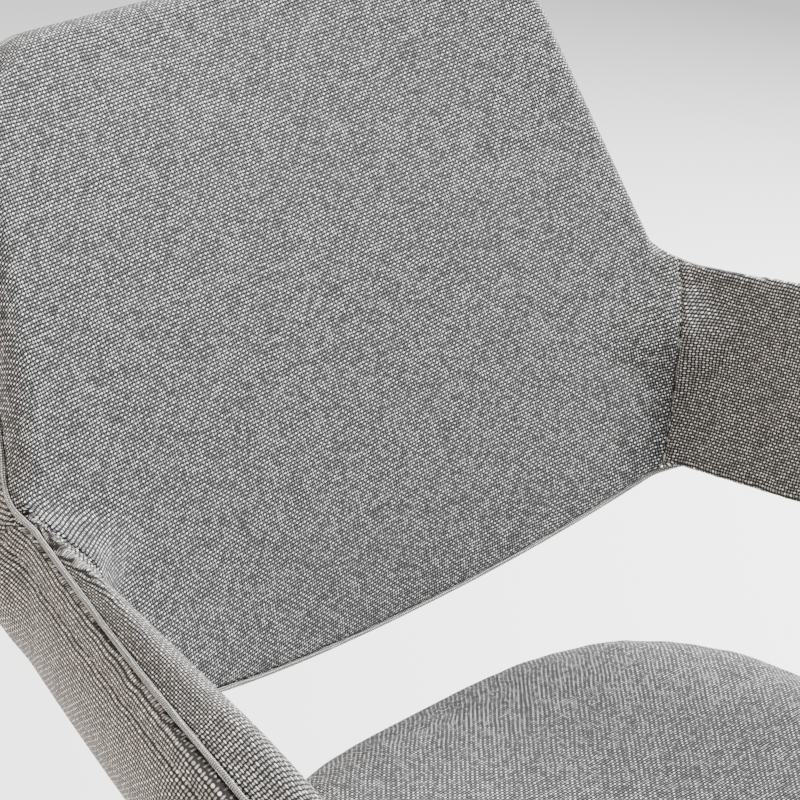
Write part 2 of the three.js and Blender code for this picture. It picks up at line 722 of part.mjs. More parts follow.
// thickness of the arm outwards, at a height across its band: it bellies out below its top
function armThickness(u, across, y) {
  const up = across - 8;
  const share = up > 0 ? up / 46 : up / 80;
  const belly = 36 - 20 * smooth(0.45, 1, u);
  return armTopWidth(y) + belly * (1 - share * share);
}

function armGeometry(side) {
  const stations = 14;
  const count = 20;
  const rings = armCorner(side, count);
  for (let r = 1; r <= stations; r++) {
    const u = lerp(0.06, 1, (r - 1) / (stations - 1));
    const { y, z, turn } = armSection(u);
    const wide = ARM_BAND_HALF + 4 * smooth(0.3, 0.6, u) - 8 * smooth(0.75, 1, u);
    const end = r === stations ? 0.6 : 1;
    const slant = 0.26 * (1 - smooth(0, 0.2, u));
    rings.push(Array.from({ length: count }, (_, i) => {
      const a = 2 * Math.PI * (i + 0.5) / count;
      const across = wide * spow(Math.sin(a), 0.6);
      const through = 0.5 + 0.5 * end * spow(Math.cos(a), 0.6);
      const py = y - across * Math.sin(turn) + slant * across;
      const pz = z + across * Math.cos(turn);
      const out = armThickness(u, across, py) * through;
      return new THREE.Vector3(side * (armInnerX(py, pz) + out), py, pz);
    }));
  }
  return loft(rings, count / 4);
}

const bracketX = armInnerX(-38, ARM_FOOT_Z) + ARM_T / 2;
function bracketGeometry(side, grow) {
  const low = BOARD_BOTTOM - 1.8 - 1 - BRACKET_T;
  const y0 = ARM_BEND_Y - ARM_BEND_R - BRACKET_W / 2 - grow;
  const y1 = ARM_BEND_Y - ARM_BEND_R + BRACKET_W / 2 + grow;
  const reach = bracketX + BRACKET_T / 2;
  const spans = (a, b) => (side > 0 ? [a, b] : [-b, -a]);
  const flat = box(...spans(112, reach), y0, y1, low - grow, low + BRACKET_T + grow);
  const post = box(...spans(reach - BRACKET_T - grow, reach + grow), y0, y1, low, 470 + grow);
  return { flat, post };
}

for (const [label, side] of [['left', 1], ['right', -1]]) {
  const bare = bracketGeometry(side, 0);
  add(chair, `${label}_arm_bracket`, fromSolid(solid(bare.flat).add(solid(bare.post))), STEEL_BLACK);
  const pocket = solid(bracketGeometry(side, 0.4).post);
  add(chair, `${label}_arm`, fromSolid(solid(armGeometry(side)).subtract(pocket)), FABRIC_SIDE);
}

export default chair;
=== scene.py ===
"""Looks of the swivel office chair: upholstered back and arms, seat cushion, seams and finishes."""

import json
import math

import bpy
import numpy as np
from mathutils import Matrix, Vector


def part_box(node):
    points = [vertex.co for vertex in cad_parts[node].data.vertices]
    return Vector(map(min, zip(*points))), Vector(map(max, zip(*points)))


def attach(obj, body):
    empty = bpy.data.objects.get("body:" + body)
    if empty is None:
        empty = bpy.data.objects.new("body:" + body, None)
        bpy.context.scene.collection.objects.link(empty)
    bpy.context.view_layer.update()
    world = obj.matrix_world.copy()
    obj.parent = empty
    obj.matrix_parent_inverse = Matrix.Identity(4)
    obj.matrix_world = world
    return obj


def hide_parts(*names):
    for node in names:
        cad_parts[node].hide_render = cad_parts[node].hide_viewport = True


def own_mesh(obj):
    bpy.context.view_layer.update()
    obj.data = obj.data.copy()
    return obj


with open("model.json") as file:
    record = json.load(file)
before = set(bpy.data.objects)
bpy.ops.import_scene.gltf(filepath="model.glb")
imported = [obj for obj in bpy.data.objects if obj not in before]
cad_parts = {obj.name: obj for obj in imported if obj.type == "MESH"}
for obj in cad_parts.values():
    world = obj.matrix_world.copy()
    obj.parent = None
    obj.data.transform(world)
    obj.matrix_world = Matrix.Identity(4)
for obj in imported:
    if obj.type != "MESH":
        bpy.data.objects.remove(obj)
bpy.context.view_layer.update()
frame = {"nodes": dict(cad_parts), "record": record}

# ---------- units and place ----------
# Upholstery is worked out in millimetres about the column's axis, with the floor at 0,
# and put in the row frame by to_frame().
MM = 0.001
tube_low, tube_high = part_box("column_tube")
AXIS_Y = (tube_low.y + tube_high.y) / 2

# ---------- driving dimensions, as in the CAD ----------
BACK_Y = 266.0
BACK_Z = 617.0
BACK_DEPTH = 41.0
BACK_HIGH = 252.0
BACK_LOW = -123.0
BACK_CORNER = 58.0
ARM_LEVEL = 594.0
ARM_HALF = 54.0
ARM_BEND_R = 100.0
ARM_BEND_Y = 62.0
ARM_FOOT_Z = 374.0
ARM_REAR_Y = 219.0
SEAT_HALF_W = 206.0
SEAT_MID_Y = -1.0
SEAT_REAR = 232.0
SEAT_FRONT = 242.0
SEAT_POWER = 3.16
SEAT_WIDEN = 0.09
SEAT_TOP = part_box("seat_cushion")[1].z / MM
SEAT_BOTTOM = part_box("seat_cushion")[0].z / MM

# sewing
GRID = 3.0               # spacing of the points on the covers
SEAM_GAP = 0.5           # half the gap between two sewn panels
SEAM_ROUND = 2.2         # how the cloth rolls into a seam
CREASE_GAP = 0.25        # the same where the back meets an arm
CREASE_ROUND = 1.6
WELT_DEPTH = 18.0        # welt line behind the front face of the back
STITCH_DOWN = 14.0       # topstitch below the welt on the outside of an arm
CHANNEL_DEPTH = 1.2      # the topstitch pulls the cloth in this far
CHANNEL_WIDTH = 2.2
WEAVE_PITCH = 1.75

# the upright of an arm bracket stands in a pocket in the arm
post_low, post_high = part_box("left_arm_bracket")
POST_T = 5.0
POST_HALF_H = 60.0
POST_HALF = np.array([POST_T / 2, (post_high.y - post_low.y) / MM / 2, POST_HALF_H])
POST_MIDDLE = np.array([post_high.x / MM - POST_T / 2, ((post_high.y + post_low.y) / 2 - AXIS_Y) / MM,
                        post_high.z / MM - POST_HALF_H])
BRACKET_ROOM = 0.6       # left free all round the upright


def to_frame(points):
    """Points in millimetres about the column's axis, as metres in the row frame."""
    return np.asarray(points, float) * MM + np.array([0.0, AXIS_Y, 0.0])


# ---------- fields: distance-like values in millimetres, negative inside ----------
def round_max(a, b, r):
    """The space inside both, with a convex edge of radius r."""
    return np.minimum(np.maximum(a, b), -r) + np.hypot(np.maximum(a + r, 0), np.maximum(b + r, 0))


def round_min(a, b, r):
    """The space inside either, with a concave fillet of radius r."""
    return -round_max(-a, -b, r)


def smooth(a, b, value):
    """0 below a, 1 above b, and an S between them."""
    t = np.clip((value - a) / (b - a), 0, 1)
    return t * t * (3 - 2 * t)


def back_lean(t):
    """Lean of the back at a way up its middle line, in radians from upright."""
    s = t / 300
    return 0.29 + 0.587 * s - 0.241 * s * s


def back_curve(t):
    """Hollow of the back from side to side, as one over its radius."""
    s = t / 300
    return (0.8 - 1.34 * s + 2.17 * s * s) / 1000


ARC = np.linspace(-220, 330, 551)
_mid = (ARC[1:] + ARC[:-1]) / 2
_start = np.searchsorted(ARC, 0)
_y = np.concatenate([[0], np.cumsum(np.sin(back_lean(_mid)) * np.diff(ARC))])
_z = np.concatenate([[0], np.cumsum(np.cos(back_lean(_mid)) * np.diff(ARC))])
ARC_Y = BACK_Y + _y - _y[_start]
ARC_Z = BACK_Z + _z - _z[_start]


def back_place(p):
    """Arc across, arc up, and distance ahead of the front face of the back."""
    x, y, z = p[..., 0], p[..., 1], p[..., 2]
    t = z - BACK_Z
    for _ in range(4):
        lean = back_lean(t)
        dy, dz = y - np.interp(t, ARC, ARC_Y), z - np.interp(t, ARC, ARC_Z)
        t = np.clip(t + dy * np.sin(lean) + dz * np.cos(lean), ARC[0], ARC[-1])
    lean = back_lean(t)
    dy, dz = y - np.interp(t, ARC, ARC_Y), z - np.interp(t, ARC, ARC_Z)
    k = back_curve(t)
    s = x * (1 + k * k * x * x / 6)
    ahead = (dz * np.sin(lean) - dy * np.cos(lean) - 0.5 * k * s * s) * np.cos(k * s)
    return s, t, ahead


def back_half_width(t):
    inside_arm = 262 + 0.4 * t
    free = 248 - 0.268 * t + 0.00025 * t * t
    return 0.5 * (inside_arm + free - np.sqrt((inside_arm - free) ** 2 + 80))


def back_low(s):
    q = (s / 100) ** 2
    return BACK_LOW + 9.75 * q - 0.34 * q * q


def back_high(s):
    return BACK_HIGH - 2.18 * (s / 100) ** 2


def back_field(s, t, ahead):
    side = np.abs(s) - back_half_width(t)
    outline = round_max(side, t - back_high(s), BACK_CORNER)
    front = round_max(round_max(outline, back_low(s) - t, 9), ahead, 11)
    rear = round_max(round_max(outline, back_low(s) - t, 16), -ahead - BACK_DEPTH, 20)
    return np.maximum(front, rear)


def arm_inner_x(y, z):
    """Inner face of an arm: it flares with height and splays towards the front."""
    height = 480 + 18 * np.logaddexp(0, (z - 480) / 18)
    return 206 + 0.2 * (213 - y) + 0.44 * (height - 540)


def arm_top_width(y):
    """From the inner face to the welt along the top of the arm."""
    back = np.clip((y - 21) / 218, 0, 1)
    return 30 - 28 * back**1.3


def arm_crown(y):
    """Rise of the foam along the crest of the inner side, most of all beside the back."""
    return 4 + 6 * smooth(0, 200, y)


def arm_place(p):
    """Way along the arm, way up across its band, and way out from its inner face."""
    x, y, z = np.abs(p[..., 0]), p[..., 1], p[..., 2]
    centre_z = ARM_LEVEL - ARM_BEND_R
    ahead, above = ARM_BEND_Y - y, z - centre_z
    angle = np.arctan2(np.maximum(ahead, 0), np.maximum(above, 1e-6))
    bend = np.hypot(ahead, above) - ARM_BEND_R
    across = np.where(ahead < 0, above - ARM_BEND_R, np.where(above < 0, ahead - ARM_BEND_R, bend))
    straight = ARM_REAR_Y - ARM_BEND_Y
    turn = ARM_BEND_R * math.pi / 2
    along = np.where(ahead < 0, ARM_REAR_Y - y,
                     np.where(above < 0, straight + turn - above, straight + ARM_BEND_R * angle))
    return along, across, x - arm_inner_x(y, z)


ARM_LENGTH = ARM_REAR_Y - ARM_BEND_Y + ARM_BEND_R * math.pi / 2 + ARM_LEVEL - ARM_BEND_R - ARM_FOOT_Z


def arm_width(along, across, y):
    """Thickness of the arm, measured outwards, at a way up across its band."""
    up = across - 8
    share = np.where(up > 0, up / 46, up / 80)
    belly = 36 - 20 * smooth(0.45, 1, along / ARM_LENGTH)
    return arm_top_width(y) + belly * (1 - share * share)


def arm_field(p, along, across, out, ahead):
    y, z = p[..., 1], p[..., 2]
    crown = arm_crown(y)
    inner = -(out + 0.5 * crown * smooth(-10, 40, across)) / 1.11
    outer = (out - arm_width(along, across, y)) / 1.2
    half = ARM_HALF - 4 * smooth(0.75, 1, along / ARM_LENGTH)
    upper = across + 0.12 * np.clip(out, 0, 30) - half
    upper = upper - crown * (1 - smooth(4, 10 + 0.7 * arm_top_width(y), out))
    lower = -across - half
    body = np.maximum(round_max(inner, upper, 11), round_max(outer, upper, 3))
    body = np.maximum(body, np.maximum(round_max(inner, lower, 6), round_max(outer, lower, 14)))
    rear = -ahead - BACK_DEPTH
    body = np.maximum(body, np.maximum(round_max(outer, rear, 42), round_max(upper, rear, 10)))
    foot = ARM_FOOT_Z - z
    return round_max(body, foot, 10)


def shell_fields(p):
    """Three fields: the whole upholstered shell, the crease between back and arm, and the
    welt between the inner and outer covers."""
    s, t, ahead = back_place(p)
    along, across, out = arm_place(p)
    depth = 3 + (WELT_DEPTH - 3) * smooth(0, 24, t - back_low(s))
    side = 12 + 8 * smooth(-54, -30, across)
    welt_out = side + (arm_top_width(p[..., 1]) - 1 - side) * smooth(-20, 46, across)
    welt = round_max(-ahead - depth, out - welt_out, 16)
    arm = arm_field(p, along, across, out, ahead)
    fillet = 9 + smooth(570, 620, p[..., 2]) * (42 - 34 * smooth(622, 650, p[..., 2]))
    shell = round_min(back_field(s, t, ahead), arm, fillet)
    # the topstitch pulls a shallow channel into the outer cover
    channel = np.exp(-(((welt - STITCH_DOWN) / CHANNEL_WIDTH) ** 2)) * smooth(0, 12, across)
    return shell + CHANNEL_DEPTH * channel, ahead + out / 1.11, welt


def panel(crease_side, welt_side):
    """Field of one sewn panel of the shell."""
    def field(p):
        shell, crease, welt = shell_fields(p)
        shell = np.maximum(shell, BRACKET_ROOM - np.max(np.abs(
            np.stack([np.abs(p[..., 0]), p[..., 1], p[..., 2]], -1) - POST_MIDDLE) - POST_HALF, -1))
        value = round_max(shell, crease_side * crease + CREASE_GAP, CREASE_ROUND)
        return round_max(value, welt_side * welt + SEAM_GAP, SEAM_ROUND)
    return field


# ---------- meshes from fields ----------
def sample(field, low, high, step):
    axes = [np.arange(a, b + step, step) for a, b in zip(low, high)]
    values = np.empty([len(a) for a in axes])
    for i, x in enumerate(axes[0]):
        y, z = np.meshgrid(axes[1], axes[2], indexing="ij")
        values[i] = field(np.stack([np.full_like(y, x), y, z], -1))
    return values


def surface_net(values, low, step):
    """Quads round the zero surface of sampled values."""
    size = np.array(values.shape)
    total, count = np.zeros((*(size - 1), 3)), np.zeros(size - 1)
    inside = values < 0
    crossings = []
    for axis in range(3):
        u, v = (axis + 1) % 3, (axis + 2) % 3
        first, second = [slice(None)] * 3, [slice(None)] * 3
        first[axis], second[axis] = slice(0, -1), slice(1, None)
        a, b = values[tuple(first)], values[tuple(second)]
        cross = inside[tuple(first)] != inside[tuple(second)]
        part = np.where(cross, a / np.where(cross, a - b, 1), 0)
        crossings.append(cross)
        for du in (0, 1):
            for dv in (0, 1):
                pick = [slice(None)] * 3
                pick[u] = slice(du, size[u] - 1 + du)
                pick[v] = slice(dv, size[v] - 1 + dv)
                here = cross[tuple(pick)]
                count += here
                total[..., axis] += part[tuple(pick)]
                total[..., u] += du * here
                total[..., v] += dv * here
    used = count > 0
    number = np.full(used.shape, -1)
    number[used] = np.arange(used.sum())
    points = np.argwhere(used) + total[used] / count[used][:, None]
    quads = []
    for axis in range(3):
        u, v = (axis + 1) % 3, (axis + 2) % 3
        at = np.argwhere(crossings[axis])
        at = at[(at[:, u] > 0) & (at[:, v] > 0) & (at[:, u] < size[u] - 1) & (at[:, v] < size[v] - 1)]
        ring = []
        for du, dv in ((0, 0), (-1, 0), (-1, -1), (0, -1)):
            cell = at.copy()
            cell[:, u] += du
            cell[:, v] += dv
            ring.append(number[tuple(cell.T)])
        ring = np.stack(ring, 1)
        flip = ~inside[tuple(at.T)]
        ring[flip] = ring[flip][:, ::-1]
        quads.append(ring)
    return np.array(low) + points * step, np.concatenate(quads)


def slope(field, points, reach=0.4):
    """Field values and gradients at points."""
    value = field(points)
    gradient = np.empty_like(points)
    for axis in range(3):
        offset = np.zeros(3)
        offset[axis] = reach
        gradient[:, axis] = (field(points + offset) - field(points - offset)) / (2 * reach)
    return value, gradient


def settle(field, points, rounds=3):
    """Points moved onto the zero surface."""
    for _ in range(rounds):
        value, gradient = slope(field, points)
        size = np.maximum((gradient**2).sum(1), 0.05)
        points = points - np.clip(value / size, -2, 2)[:, None] * gradient
    return points


def relax(points, quads, share=0.5):
    """Each point moved towards the middle of its neighbours."""
    total, count = np.zeros_like(points), np.zeros(len(points))
    for a, b in ((0, 1), (1, 2), (2, 3), (3, 0)):
        for i, j in ((a, b), (b, a)):
            for axis in range(3):
                total[:, axis] += np.bincount(quads[:, i], points[quads[:, j], axis], len(points))
            count += np.bincount(quads[:, i], minlength=len(points))
    return points + share * (total / np.maximum(count, 1)[:, None] - points)


def skin(field, low, high, step=GRID):
    """Even closed mesh on the zero surface of a field."""
    points, quads = surface_net(sample(field, low, high, step), low, step)
    for _ in range(2):
        points = settle(field, relax(points, quads), 2)
    return points, quads


def mesh_object(name, points, faces, mat):
    """Smooth-shaded object from points in millimetres."""
    mesh = bpy.data.meshes.new(name)
    mesh.from_pydata(to_frame(points).tolist(), [], [list(map(int, f)) for f in faces])
    mesh.materials.append(mat)
    mesh.validate()
    mesh.update()
    mesh.polygons.foreach_set("use_smooth", [True] * len(mesh.polygons))
    obj = bpy.data.objects.new(name, mesh)
    bpy.context.scene.collection.objects.link(obj)
    return obj


def cloth_lines(obj, lines):
    """Keeps, for each point, where it lies along the warp and the weft, in millimetres."""
    attribute = obj.data.attributes.new("cloth", "FLOAT_VECTOR", "POINT")
    data = np.zeros((len(lines), 3), np.float32)
    data[:, :2] = lines
    attribute.data.foreach_set("vector", data.ravel())


def back_lines(points):
    s, t, ahead = back_place(points)
    # the cloth turns over the top and the side edges
    turned = np.maximum(-ahead, 0.8 * ahead)
    s, t = s + turned * np.clip(s / 230, -1, 1) ** 3, t + np.maximum(-ahead, 0) * smooth(0, 120, t)
    turn = math.radians(5)
    return np.stack([s * math.cos(turn) + t * math.sin(turn), t * math.cos(turn) - s * math.sin(turn)], 1)


def back_rear_lines(points):
    """The outer cover's cloth comes over the top and down the rear."""
    s, t, ahead = back_place(points)
    return np.stack([-s - ahead * np.clip(s / 230, -1, 1) ** 3, -t - ahead * smooth(0, 120, t)], 1)


def arm_inner_lines(points):
    along, across, out = arm_place(points)
    side = 1.09 * across + np.maximum(out, 0)
    # past the crest the cloth runs outwards along the top
    crest = ARM_HALF + arm_crown(points[:, 1])
    top = 1.09 * crest + 1.15 * out - 2 + 0.8 * np.maximum(0, across - crest)
    share = smooth(2, 12, out) * smooth(20, 38, across)
    return np.stack([along, side + share * (top - side)], 1)


def arm_outer_lines(points):
    along, across, out = arm_place(points)
    # way in from the outer face, over the rear, the foot and the lower edge
    inward = arm_width(along, across, points[:, 1]) - out
    length = along - 0.9 * inward * smooth(200, 240, points[:, 1])
    length += inward * smooth(ARM_LENGTH - 14, ARM_LENGTH - 2, along)
    return np.stack([length, -1.22 * across + inward * smooth(-40, -54, across)], 1)


# ---------- node helpers ----------
def shader(name):
    mat = bpy.data.materials.new(name)
    mat.use_nodes = True
    tree = mat.node_tree
    principled = next(n for n in tree.nodes if n.type == "BSDF_PRINCIPLED")
    return mat, tree, principled


def node(tree, kind, inputs=None, **settings):
    made = tree.nodes.new(kind)
    for key, value in settings.items():
        setattr(made, key, value)
    for key, value in (inputs or {}).items():
        if isinstance(value, bpy.types.NodeSocket):
            tree.links.new(value, made.inputs[key])
        else:
            made.inputs[key].default_value = value
    return made


def math_node(tree, operation, *values, clamp=False):
    made = node(tree, "ShaderNodeMath", dict(enumerate(values)), operation=operation)
    made.use_clamp = clamp
    return made.outputs[0]


def mix_colour(tree, factor, a, b, blend="MIX"):
    made = node(tree, "ShaderNodeMix", data_type="RGBA", blend_type=blend)
    for key, value in ((0, factor), (6, a), (7, b)):
        if isinstance(value, bpy.types.NodeSocket):
            tree.links.new(value, made.inputs[key])
        else:
            made.inputs[key].default_value = value
    return made.outputs[2]


def grey(value, tint=(1, 1, 1)):
    return (value * tint[0], value * tint[1], value * tint[2], 1)


def noise(tree, vector, scale, detail=2.0, roughness=0.5):
    return node(tree, "ShaderNodeTexNoise", {"Vector": vector, "Scale": scale, "Detail": detail,
                                             "Roughness": roughness}).outputs["Fac"]


def ramp(tree, value, low, high, out_low=0.0, out_high=1.0):
    made = node(tree, "ShaderNodeMapRange", {"Value": value, "From Min": low, "From Max": high,
                                             "To Min": out_low, "To Max": out_high},
                interpolation_type="SMOOTHSTEP")
    return made.outputs["Result"]


def woven(name, painted_gap_shade, middle, light, pitch=WEAVE_PITCH, tint=(1, 1, 1)):
    """Plain weave of mottled yarns: each yarn passes over one and under the next."""
    mat, tree, principled = shader(name)
    place = node(tree, "ShaderNodeAttribute", attribute_name="cloth").outputs["Vector"]
    # the rows wander a little
    drift = node(tree, "ShaderNodeTexNoise", {"Vector": place, "Scale": 0.05, "Detail": 3.0})
    wander = node(tree, "ShaderNodeVectorMath", {0: drift.outputs["Color"], 1: (0.5, 0.5, 0.5)},
                  operation="SUBTRACT").outputs[0]
    place = node(tree, "ShaderNodeVectorMath", {0: wander, 1: (2.6, 2.6, 0), 2: place},
                 operation="MULTIPLY_ADD").outputs[0]
    split = node(tree, "ShaderNodeSeparateXYZ", {0: place})
    u = math_node(tree, "DIVIDE", split.outputs[0], pitch)
    v = math_node(tree, "DIVIDE", split.outputs[1], pitch)
    i, j = math_node(tree, "FLOOR", u), math_node(tree, "FLOOR", v)
    fu = math_node(tree, "SUBTRACT", math_node(tree, "SUBTRACT", u, i), 0.5)
    fv = math_node(tree, "SUBTRACT", math_node(tree, "SUBTRACT", v, j), 0.5)
    # which yarn is on top alternates like a chessboard
    odd = math_node(tree, "MODULO", math_node(tree, "ABSOLUTE", math_node(tree, "ADD", i, j)), 2.0)
    sign = math_node(tree, "MULTIPLY_ADD", math_node(tree, "ROUND", odd), -2.0, 1.0)
    round_u = math_node(tree, "COSINE", math_node(tree, "MULTIPLY", fu, math.pi))
    round_v = math_node(tree, "COSINE", math_node(tree, "MULTIPLY", fv, math.pi))
    over_u = math_node(tree, "MULTIPLY_ADD", math_node(tree, "MULTIPLY", sign, round_v), 0.5, 0.5)
    over_v = math_node(tree, "MULTIPLY_ADD", math_node(tree, "MULTIPLY", sign, round_u), -0.5, 0.5)
    warp = math_node(tree, "MULTIPLY", round_u, over_u)
    weft = math_node(tree, "MULTIPLY", round_v, over_v)
    height = math_node(tree, "MAXIMUM", warp, weft)
    on_top = math_node(tree, "GREATER_THAN", warp, weft)
    # heather: every yarn has its own shade, which changes along its length and at each crossing
    warp_at = node(tree, "ShaderNodeCombineXYZ", {0: math_node(tree, "MULTIPLY", i, 7.31),
                                                  1: math_node(tree, "MULTIPLY", v, 0.3), 2: 3.0})
    weft_at = node(tree, "ShaderNodeCombineXYZ", {0: math_node(tree, "MULTIPLY", u, 0.3),
                                                  1: math_node(tree, "MULTIPLY", j, 5.77), 2: 9.0})
    warp_shade = noise(tree, warp_at.outputs[0], 1.0, 2.0, 0.7)
    weft_shade = noise(tree, weft_at.outputs[0], 1.0, 2.0, 0.7)
    yarn = math_node(tree, "ADD", math_node(tree, "MULTIPLY", on_top, warp_shade),
                     math_node(tree, "MULTIPLY", math_node(tree, "SUBTRACT", 1.0, on_top), weft_shade))
    crossing = node(tree, "ShaderNodeCombineXYZ", {0: i, 1: j, 2: 0.0}).outputs[0]
    knot = node(tree, "ShaderNodeTexWhiteNoise", {"Vector": crossing}, noise_dimensions="3D").outputs[0]
    patch = noise(tree, place, 0.06, 3.0, 0.6)
    shade = math_node(tree, "MULTIPLY_ADD", yarn, 0.8, math_node(tree, "MULTIPLY_ADD", knot, 0.8, -0.38))
    shade = math_node(tree, "MULTIPLY_ADD", patch, 0.22, math_node(tree, "ADD", shade, 0.06))
    # the warp is darker than the weft
    shade = math_node(tree, "MULTIPLY_ADD", on_top, -0.56, shade)
    pale = mix_colour(tree, ramp(tree, shade, 0.0, 1.0), grey(middle, tint), grey(light, tint))
    # painted shade: the colour goes to near black where the weave is low, in the gaps between the yarns and
    # down the rounded sides of each yarn
    colour = mix_colour(tree, ramp(tree, height, 0.46, 0.9), grey(painted_gap_shade, tint), pale)
    tree.links.new(colour, principled.inputs["Base Color"])
    tree.links.new(ramp(tree, height, 0.1, 0.9, 1.0, 0.85), principled.inputs["Roughness"])
    fibre = noise(tree, place, 2.6, 2.0, 0.7)
    relief = math_node(tree, "MULTIPLY_ADD", fibre, 0.18, height)
    bump = node(tree, "ShaderNodeBump", {"Height": relief, "Strength": 0.6, "Distance": 0.0006})
    tree.links.new(bump.outputs[0], principled.inputs["Normal"])
    principled.inputs["Specular IOR Level"].default_value = 0.2
    principled.inputs["Sheen Weight"].default_value = 0.04
    principled.inputs["Sheen Roughness"].default_value = 0.6
    return mat


def worn(tree, principled, colour, wear_colour, amount=0.6, radius=0.0012):
    """Edges rounded by handling, and rubbed to a second colour."""
    rounded = node(tree, "ShaderNodeBevel", {"Radius": radius}, samples=6)
    plain = node(tree, "ShaderNodeNewGeometry").outputs["Normal"]
    turn = node(tree, "ShaderNodeVectorMath", {0: rounded.outputs[0], 1: plain},
                operation="DOT_PRODUCT").outputs["Value"]
    place = node(tree, "ShaderNodeTexCoord").outputs["Object"]
    patchy = ramp(tree, noise(tree, place, 90.0, 4.0, 0.65), 0.35, 0.7)
    edge = math_node(tree, "MULTIPLY", ramp(tree, turn, 0.999, 0.93), patchy)
    edge = math_node(tree, "MULTIPLY", edge, amount)
    made = mix_colour(tree, edge, colour, wear_colour)
    tree.links.new(made, principled.inputs["Base Color"])
    return rounded.outputs[0]


def hard(name, colour, roughness, metallic=0.0, grain=400.0, relief=0.0001, spread=0.1,
         wear=None, stretch=(1, 1, 1), mottle=0.12, radius=0.0012):
    """Metal, plastic or paint with a fine grain, slight mottling and worn edges."""
    mat, tree, principled = shader(name)
    place = node(tree, "ShaderNodeTexCoord").outputs["Object"]
    drawn = node(tree, "ShaderNodeMapping", {"Vector": place, "Scale": stretch}).outputs[0]
    fine = noise(tree, drawn, grain, 3.0, 0.6)
    broad = noise(tree, place, 14.0, 3.0, 0.55)
    darker = tuple(c * (1 - mottle) for c in colour) + (1,)
    paler = tuple(min(1, c * (1 + mottle)) for c in colour) + (1,)
    base = mix_colour(tree, ramp(tree, broad, 0.3, 0.7), darker, paler)
    rubbed = tuple(wear or paler[:3]) + (1,)
    normal = worn(tree, principled, base, rubbed, 0.7 if wear else 0.3, radius)
    rough = math_node(tree, "MULTIPLY_ADD", fine, spread, roughness - spread / 2)
    rough = math_node(tree, "MULTIPLY_ADD", broad, spread, math_node(tree, "SUBTRACT", rough, spread / 2))
    tree.links.new(rough, principled.inputs["Roughness"])
    bump = node(tree, "ShaderNodeBump", {"Height": fine, "Strength": 0.35, "Distance": relief,
                                         "Normal": normal})
    tree.links.new(bump.outputs[0], principled.inputs["Normal"])
    principled.inputs["Metallic"].default_value = metallic
    return mat


def plywood():
    """Edge-grained board with pale and dark plies and a fine long grain."""
    mat, tree, principled = shader("birch_plywood")
    place = node(tree, "ShaderNodeTexCoord").outputs["Object"]
    long_grain = node(tree, "ShaderNodeMapping", {"Vector": place, "Scale": (9, 120, 120)}).outputs[0]
    grain = noise(tree, long_grain, 1.6, 5.0, 0.6)
    split = node(tree, "ShaderNodeSeparateXYZ", {0: place})
    ply = math_node(tree, "PINGPONG", math_node(tree, "MULTIPLY", split.outputs[2], 1 / 0.0024), 1.0)
    base = mix_colour(tree, ramp(tree, grain, 0.3, 0.7), (0.36, 0.22, 0.11, 1), (0.60, 0.42, 0.24, 1))
    facing = node(tree, "ShaderNodeSeparateXYZ", {0: node(tree, "ShaderNodeNewGeometry").outputs["Normal"]})
    edge = ramp(tree, math_node(tree, "ABSOLUTE", facing.outputs[2]), 0.7, 0.3)
    plies = math_node(tree, "MULTIPLY", ramp(tree, ply, 0.35, 0.65, 0.0, 0.75), edge)
    tree.links.new(mix_colour(tree, plies, base, (0.22, 0.12, 0.06, 1)), principled.inputs["Base Color"])
    tree.links.new(ramp(tree, grain, 0.2, 0.8, 0.55, 0.75), principled.inputs["Roughness"])
    bump = node(tree, "ShaderNodeBump", {"Height": grain, "Strength": 0.4, "Distance": 0.0003})
    tree.links.new(bump.outputs[0], principled.inputs["Normal"])
    return mat


def felt():
    """Thin needle-punched cover: short fibres in all directions."""
    mat, tree, principled = shader("black_felt")
    place = node(tree, "ShaderNodeTexCoord").outputs["Object"]
    fibre = noise(tree, place, 900.0, 4.0, 0.75)
    dimple = node(tree, "ShaderNodeTexVoronoi", {"Vector": place, "Scale": 420.0}).outputs["Distance"]
    base = mix_colour(tree, ramp(tree, fibre, 0.3, 0.75), (0.008, 0.008, 0.009, 1), (0.05, 0.05, 0.052, 1))
    tree.links.new(base, principled.inputs["Base Color"])
    height = math_node(tree, "MULTIPLY_ADD", dimple, 0.5, fibre)
    bump = node(tree, "ShaderNodeBump", {"Height": height, "Strength": 0.7, "Distance": 0.0004})
    tree.links.new(bump.outputs[0], principled.inputs["Normal"])
    principled.inputs["Roughness"].default_value = 0.95
    principled.inputs["Sheen Weight"].default_value = 0.2
    return mat


